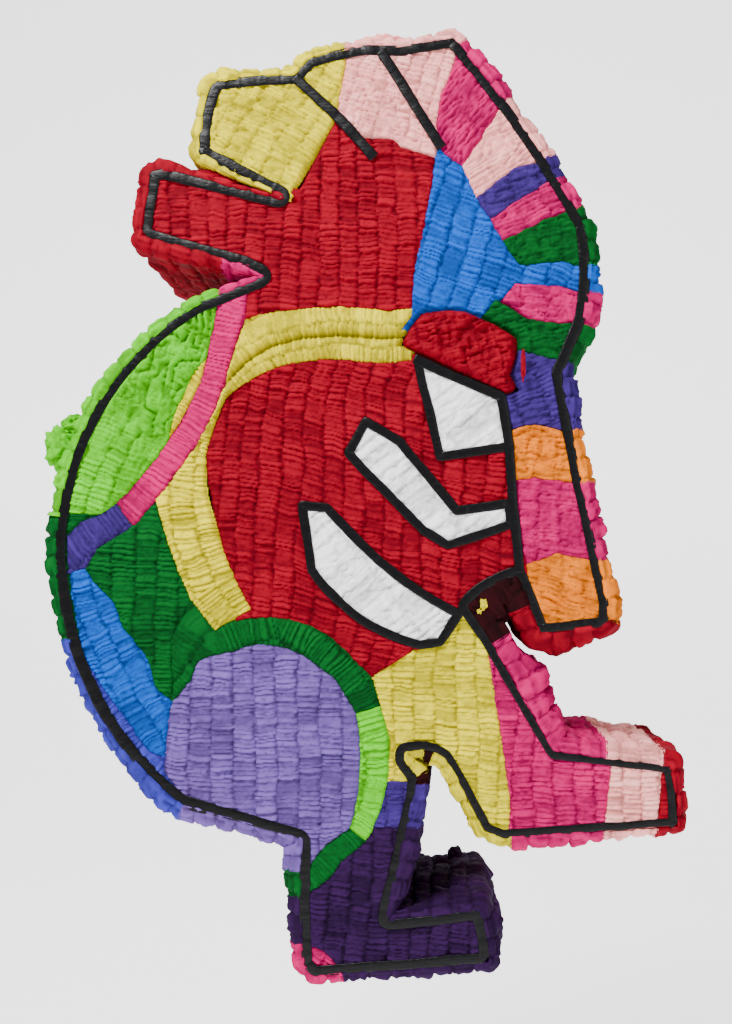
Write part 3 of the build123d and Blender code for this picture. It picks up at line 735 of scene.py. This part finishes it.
def tapeRibbon(path, width, closed, seed, level):  # a black line laid over the crepe
    path = np.array(path, float)
    if not closed:
        runs = np.concatenate([[0], np.cumsum(np.hypot(*np.diff(path, axis=0).T))])
        at = np.linspace(0, runs[-1], max(4, int(runs[-1] / 1.5)))
        path = np.stack([np.interp(at, runs, path[:, 0]), np.interp(at, runs, path[:, 1])], 1)
    count = len(path)
    if closed:
        ahead, behind = np.roll(path, -1, 0), np.roll(path, 1, 0)
        way = softened(ahead - behind, 3)
    else:
        way = np.gradient(path, axis=0)
        for again in range(2):
            way[1:-1] = (way[:-2] + way[1:-1] + way[2:]) / 3
    way /= np.hypot(way[:, 0], way[:, 1])[:, None]
    across = np.stack([way[:, 1], -way[:, 0]], 1)
    shape = np.array([(-0.5, -0.4), (-0.5, 0.15), (-0.4, 0.42), (-0.15, 0.55), (0.15, 0.55), (0.4, 0.42), (0.5, 0.15), (0.5, -0.4)])
    columns = count if closed else count - 1
    bm = bmesh.new()
    bmesh.ops.create_grid(bm, x_segments=columns, y_segments=len(shape), size=0.5)
    verts = list(bm.verts)
    grid = np.array([v.co[:2] for v in verts]) + 0.5
    i = np.rint(grid[:, 0] * columns).astype(int)
    j = np.rint(grid[:, 1] * len(shape)).astype(int) % len(shape)
    i = i % count if closed else np.minimum(i, count - 1)
    s = np.arange(count) * 1.0
    wide = (width(path) if callable(width) else np.full(count, width)) * (1 + 0.07 * noise(s / 14, s * 0, seed))
    drift = 0.5 * noise(s / 23, s * 0 + 5, seed)
    rise = level + tape["wave"] * noise(s / 9, s * 0 + 9, seed) + 0.12 * noise(s / 3.2, s * 0 + 2, seed)
    spot = path[i] + across[i] * (shape[j, 0] * wide[i] + drift[i] + 0.18 * noise(s[i] / 2.5, j * 1.0, seed))[:, None]
    depth = -(rise[i] + shape[j, 1] + 0.12 * noise(s[i] / 1.7, j * 1.3, seed + 3) * (shape[j, 1] > 0))
    for v, p, y in zip(verts, spot, depth):
        v.co = (p[0] / 1000, y / 1000, p[1] / 1000)
    bmesh.ops.remove_doubles(bm, verts=bm.verts, dist=2e-6)
    border = [e for e in bm.edges if e.is_boundary]
    if border:
        bmesh.ops.holes_fill(bm, edges=border, sides=0)
    bmesh.ops.recalc_face_normals(bm, faces=bm.faces)
    return bm


def tapeMaterial():
    material, nodes, links, shader = newMaterial("blackTape")
    grain = nodes.new("ShaderNodeGroup")
    grain.node_tree = grainGroup
    grain.inputs["Scale"].default_value = 260
    grain.inputs["Strength"].default_value = 0.5
    ramp = nodes.new("ShaderNodeValToRGB")
    ramp.color_ramp.elements[0].color = (0.001, 0.001, 0.0012, 1)
    ramp.color_ramp.elements[1].color = (0.005, 0.005, 0.006, 1)
    links.new(grain.outputs["Mask"], ramp.inputs["Fac"])
    links.new(ramp.outputs["Color"], shader.inputs["Base Color"])
    links.new(grain.outputs["Normal"], shader.inputs["Normal"])
    gloss = nodes.new("ShaderNodeMapRange")
    gloss.inputs["To Min"].default_value = 0.2
    gloss.inputs["To Max"].default_value = 0.45
    links.new(grain.outputs["Mask"], gloss.inputs["Value"])
    links.new(gloss.outputs["Result"], shader.inputs["Roughness"])
    shader.inputs["Specular IOR Level"].default_value = 0.13
    return material


blackTape = tapeMaterial()


def rimWidth(path):  # wider low on the back and at the braid, thinner on the legs
    width = np.full(len(path), 9.1)
    for x, z, change, reach in [(-270, -600, 2.2, 90), (-190, -700, 2.6, 60), (180, -250, 1.4, 80), (-150, -80, 0.8, 60), (120, -640, -2.4, 90), (230, -700, -2.4, 60), (60, -730, -1.6, 40)]:
        away = np.hypot(path[:, 0] - x, path[:, 1] - z)
        width += change * np.exp(-((away / reach) ** 2))
    return width


rimInside = softened(rim - outward * 5.4, 3)
pieces = {
    "tape_outline": [tapeRibbon(rimInside, rimWidth, True, 3, tape["level"] + 0.1)],
    "tape_claws": [tapeRibbon(resample(claw, 1.2)[0], 8.5, True, 11 + k, tape["level"] + 0.5) for k, claw in enumerate(clawLoops)],
}
for k, (name, line) in enumerate(lines.items()):
    pieces[name] = [tapeRibbon(line["path"], line["width"], False, 30 + k, tape["level"] + 0.9)]
for name, parts in pieces.items():
    piece = asObject(name.replace("tape", "line"), parts, blackTape)
    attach(piece, "body")
    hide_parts(name)
print("stage: tapes")


# the fill door
doorStyle = {"lean": 10, "fan": 16, "width": 18.5, "paper": "red", "roll": 3.0}
door = asObject("paper_door", patchSheet("door_crepe", 1, doorStyle, 900, 1.6), papers["red"])
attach(door, "door")
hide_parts("door_crepe")


# cardboard, tape and wood inside
def plainMaterial(name, low, high, scale, stretch=(1, 1, 1), roughness=0.8, metallic=0.0, strength=0.3):
    material, nodes, links, shader = newMaterial(name)
    place = nodes.new("ShaderNodeTexCoord")
    mapping = nodes.new("ShaderNodeMapping")
    mapping.inputs["Scale"].default_value = stretch
    pattern = nodes.new("ShaderNodeTexNoise")
    pattern.inputs["Scale"].default_value = scale
    pattern.inputs["Detail"].default_value = 6
    ramp = nodes.new("ShaderNodeValToRGB")
    ramp.color_ramp.elements[0].position = 0.3
    ramp.color_ramp.elements[0].color = (*low, 1)
    ramp.color_ramp.elements[1].position = 0.7
    ramp.color_ramp.elements[1].color = (*high, 1)
    bump = nodes.new("ShaderNodeBump")
    bump.inputs["Strength"].default_value = strength
    bump.inputs["Distance"].default_value = 0.0005
    links.new(place.outputs["Object"], mapping.inputs["Vector"])
    links.new(mapping.outputs["Vector"], pattern.inputs["Vector"])
    links.new(pattern.outputs["Fac"], ramp.inputs["Fac"])
    links.new(pattern.outputs["Fac"], bump.inputs["Height"])
    links.new(ramp.outputs["Color"], shader.inputs["Base Color"])
    links.new(bump.outputs["Normal"], shader.inputs["Normal"])
    shader.inputs["Roughness"].default_value = roughness
    shader.inputs["Metallic"].default_value = metallic
    return material


cardboard = plainMaterial("cardboard", (0.36, 0.22, 0.11), (0.47, 0.31, 0.17), 60, (1, 1, 12))
maskingTape = plainMaterial("maskingTape", (0.62, 0.5, 0.3), (0.72, 0.6, 0.38), 400, (1, 1, 3), 0.6)
paperTape = plainMaterial("paperTape", (0.42, 0.27, 0.14), (0.5, 0.34, 0.19), 200, (1, 1, 1), 0.5)
pine = plainMaterial("pine", (0.5, 0.33, 0.16), (0.66, 0.47, 0.26), 50, (1, 8, 8), 0.6)
brass = plainMaterial("brass", (0.6, 0.42, 0.16), (0.7, 0.5, 0.2), 300, (1, 1, 1), 0.35, 1.0, 0.05)
inside = {
    "hanging_batten": pine,
    "hanging_sleeve": brass,
    "joint_tapes": paperTape,
    "edge_tape_front": maskingTape,
    "edge_tape_back": maskingTape,
    "hinge_tape_upper": maskingTape,
    "hinge_tape_lower": maskingTape,
}
for name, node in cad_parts.items():
    if not node.hide_render:
        node.data.materials.clear()
        node.data.materials.append(inside.get(name, cardboard))
print("stage: inside")


# floor, light and camera
studio = {"floor": -1.35, "back": 2.6, "key": 92, "fill": 20, "sky": 0.42, "glow": 1.5}


def backdrop():
    bm = bmesh.new()
    bmesh.ops.create_grid(bm, x_segments=1, y_segments=1, size=4)
    for v in bm.verts:
        v.co.z = studio["floor"]
        v.co.y = -3.5 if v.co.y < 0 else studio["back"] - 1.2
    edge = [e for e in bm.edges if all(v.co.y > 0 for v in e.verts)]
    bmesh.ops.spin(bm, geom=edge, cent=(0, studio["back"] - 1.2, studio["floor"] + 1.2), axis=(1, 0, 0), angle=math.pi / 2, steps=24)
    top = max(v.co.y for v in bm.verts)
    edge = [e for e in bm.edges if all(abs(v.co.y - top) < 1e-4 for v in e.verts)]
    grown = bmesh.ops.extrude_edge_only(bm, edges=edge)["geom"]
    for g in grown:
        if isinstance(g, bmesh.types.BMVert):
            g.co.z += 4
    bmesh.ops.recalc_face_normals(bm, faces=bm.faces)
    material, nodes, links, shader = newMaterial("paleFloor")
    shader.inputs["Base Color"].default_value = (0.9, 0.9, 0.9, 1)
    shader.inputs["Roughness"].default_value = 0.9
    shader.inputs["Emission Color"].default_value = (1, 1, 1, 1)
    shader.inputs["Emission Strength"].default_value = studio["glow"]
    obj = asObject("backdrop", [bm], material)
    return obj


def areaLight(name, place, target, size, power):
    light = bpy.data.lights.new(name, "AREA")
    light.size = size
    light.energy = power
    obj = bpy.data.objects.new(name, light)
    scene.collection.objects.link(obj)
    obj.location = place
    obj.rotation_euler = (Vector(target) - Vector(place)).to_track_quat("-Z", "Y").to_euler()
    return obj


middle = (0, 0, -0.45)
lights = [
    areaLight("keyLight", (-0.8, -1.25, 1.15), middle, 0.7, studio["key"]),
    areaLight("fillLight", (1.3, -1.8, -0.1), middle, 1.4, studio["fill"]),
]
world = bpy.data.worlds.new("studioSky")
world.use_nodes = True
world.node_tree.nodes["Background"].inputs["Color"].default_value = (1, 1, 1, 1)
seen = world.node_tree.nodes.new("ShaderNodeLightPath")  # paler where the sky itself is seen
level = world.node_tree.nodes.new("ShaderNodeMapRange")
level.inputs["To Min"].default_value = studio["sky"]
level.inputs["To Max"].default_value = 1.0
world.node_tree.links.new(seen.outputs["Is Camera Ray"], level.inputs["Value"])
world.node_tree.links.new(level.outputs["Result"], world.node_tree.nodes["Background"].inputs["Strength"])
scene.world = world
backdrop()

lens = bpy.data.cameras.new("camera")
lens.sensor_width = 36
lens.lens = 34.3
lens.shift_x = -0.080
lens.shift_y = 0.0615
camera = bpy.data.objects.new("camera", lens)
camera.location = (0.0595, -0.993, -0.494)
camera.rotation_euler = (math.radians(90), 0, 0)
scene.collection.objects.link(camera)
scene.camera = camera
print("stage: studio")
